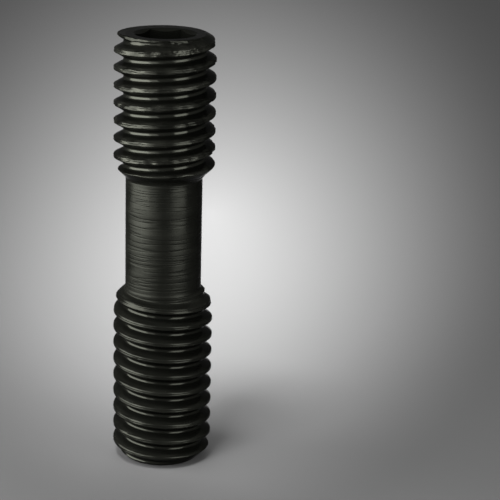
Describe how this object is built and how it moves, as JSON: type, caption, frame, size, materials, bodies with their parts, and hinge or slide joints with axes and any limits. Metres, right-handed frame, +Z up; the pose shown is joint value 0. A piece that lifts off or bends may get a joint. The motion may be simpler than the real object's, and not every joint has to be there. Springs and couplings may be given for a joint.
{
  "type": "double-ended clamp screw",
  "caption": "Headless steel clamp screw with a right-hand thread on one end, a left-hand thread on the other, a plain neck between them and a hex socket.",
  "frame": {"origin": "centre of the lower end face, the end with the longer left-hand thread, on which the screw stands", "axes": "+Z up the screw's axis towards the end with the right-hand thread and the hex socket; -Y faces the viewer of the picture and +X is to the viewer's right"},
  "size_m": [0.0058, 0.0058, 0.025],
  "materials": {
    "black_oxide_steel": "black oxide on turned steel, lightly oiled, satin to glossy"
  },
  "bodies": {
    "root": {"clamp_screw": "black_oxide_steel"}
  },
  "joints": []
}
